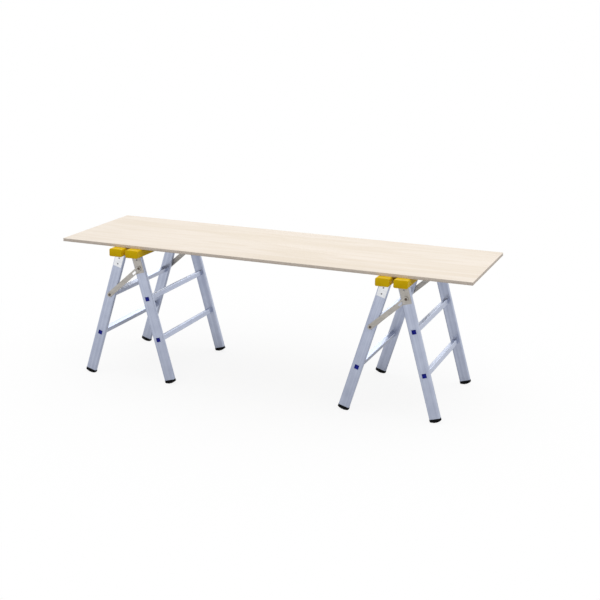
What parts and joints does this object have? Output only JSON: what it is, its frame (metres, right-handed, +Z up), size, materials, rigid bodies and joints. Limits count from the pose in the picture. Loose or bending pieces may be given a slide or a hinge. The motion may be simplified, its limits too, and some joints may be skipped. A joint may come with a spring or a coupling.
{
  "type": "builders trestle",
  "caption": "Folding aluminium A-frame trestles with hinged ladder sides, slotted stays and yellow top rails, carrying a loose plywood board as a work table.",
  "frame": {"origin": "on the floor under the board, midway between the trestles", "axes": "+X along the board from the left to the right trestle, +Y away from the viewer, +Z up"},
  "size_m": [2.5, 0.866, 0.823],
  "materials": {
    "aluminium": "satin drawn",
    "plywood": "sanded birch, unsealed",
    "rail_plastic": "moulded",
    "bright_zinc": "bright zinc",
    "stay_steel": "passivated zinc",
    "rivet_steel": "dull zinc",
    "bolt_steel": "blackened",
    "plug_plastic": "moulded",
    "foot_rubber": "moulded"
  },
  "bodies": {
    "left_fixed": {"left_fixed_stile_front": "aluminium", "left_fixed_stile_rear": "aluminium", "left_fixed_rung_lower": "aluminium", "left_fixed_rung_upper": "aluminium", "left_fixed_rung_plugs": "plug_plastic", "left_fixed_feet": "foot_rubber", "left_fixed_rail": "rail_plastic", "left_fixed_rail_caps": "rail_plastic", "left_fixed_brackets": "bright_zinc", "left_fixed_rivets": "rivet_steel", "left_fixed_screws": "rivet_steel", "left_fixed_hinge_leaves": "stay_steel", "left_hinge_pins": "rivet_steel", "left_stay_pivots": "bolt_steel"},
    "left_swing": {"left_swing_stile_front": "aluminium", "left_swing_stile_rear": "aluminium", "left_swing_rung_lower": "aluminium", "left_swing_rung_upper": "aluminium", "left_swing_rung_plugs": "plug_plastic", "left_swing_feet": "foot_rubber", "left_swing_rail": "rail_plastic", "left_swing_rail_caps": "rail_plastic", "left_swing_brackets": "stay_steel", "left_swing_rivets": "rivet_steel", "left_swing_screws": "rivet_steel", "left_swing_hinge_leaves": "stay_steel", "left_stay_studs": "bolt_steel"},
    "left_stays": {"left_stay_front": "stay_steel", "left_stay_rear": "stay_steel"},
    "board": {"board": "plywood"},
    "right_fixed": {"right_fixed_stile_front": "aluminium", "right_fixed_stile_rear": "aluminium", "right_fixed_rung_lower": "aluminium", "right_fixed_rung_upper": "aluminium", "right_fixed_rung_plugs": "plug_plastic", "right_fixed_feet": "foot_rubber", "right_fixed_rail": "rail_plastic", "right_fixed_rail_caps": "rail_plastic", "right_fixed_brackets": "bright_zinc", "right_fixed_rivets": "rivet_steel", "right_fixed_screws": "rivet_steel", "right_fixed_hinge_leaves": "stay_steel", "right_hinge_pins": "rivet_steel", "right_stay_pivots": "bolt_steel"},
    "right_swing": {"right_swing_stile_front": "aluminium", "right_swing_stile_rear": "aluminium", "right_swing_rung_lower": "aluminium", "right_swing_rung_upper": "aluminium", "right_swing_rung_plugs": "plug_plastic", "right_swing_feet": "foot_rubber", "right_swing_rail": "rail_plastic", "right_swing_rail_caps": "rail_plastic", "right_swing_brackets": "stay_steel", "right_swing_rivets": "rivet_steel", "right_swing_screws": "rivet_steel", "right_swing_hinge_leaves": "stay_steel", "right_stay_studs": "bolt_steel"},
    "right_stays": {"right_stay_front": "stay_steel", "right_stay_rear": "stay_steel"}
  },
  "joints": [
    {"name": "left_fold", "type": "hinge", "parent": "left_fixed", "child": "left_swing", "pos_m": [-0.815, 0, 0.751], "axis": [0, 1, 0], "range_deg": [0, 32]},
    {"name": "left_stay_turn", "type": "hinge", "parent": "left_fixed", "child": "left_stays", "pos_m": [-0.93993, 0, 0.50796], "axis": [0, 1, 0], "range_deg": [-2.3, 0]},
    {"name": "right_fold", "type": "hinge", "parent": "right_fixed", "child": "right_swing", "pos_m": [0.815, 0, 0.751], "axis": [0, 1, 0], "range_deg": [0, 32]},
    {"name": "right_stay_turn", "type": "hinge", "parent": "right_fixed", "child": "right_stays", "pos_m": [0.69007, 0, 0.50796], "axis": [0, 1, 0], "range_deg": [-2.3, 0]},
    {"name": "board_lift", "type": "slide", "parent": "left_fixed", "child": "board", "axis": [0, 0, 1], "range_m": [0, 0.4]},
    {"name": "right_trestle_shift", "type": "slide", "parent": "left_fixed", "child": "right_fixed", "axis": [1, 0, 0], "range_m": [-0.4, 0.25]}
  ],
  "couplings": [
    {"joint": "left_stay_turn", "follows": "left_fold", "ratio": -0.070854},
    {"joint": "right_stay_turn", "follows": "right_fold", "ratio": -0.070854}
  ]
}
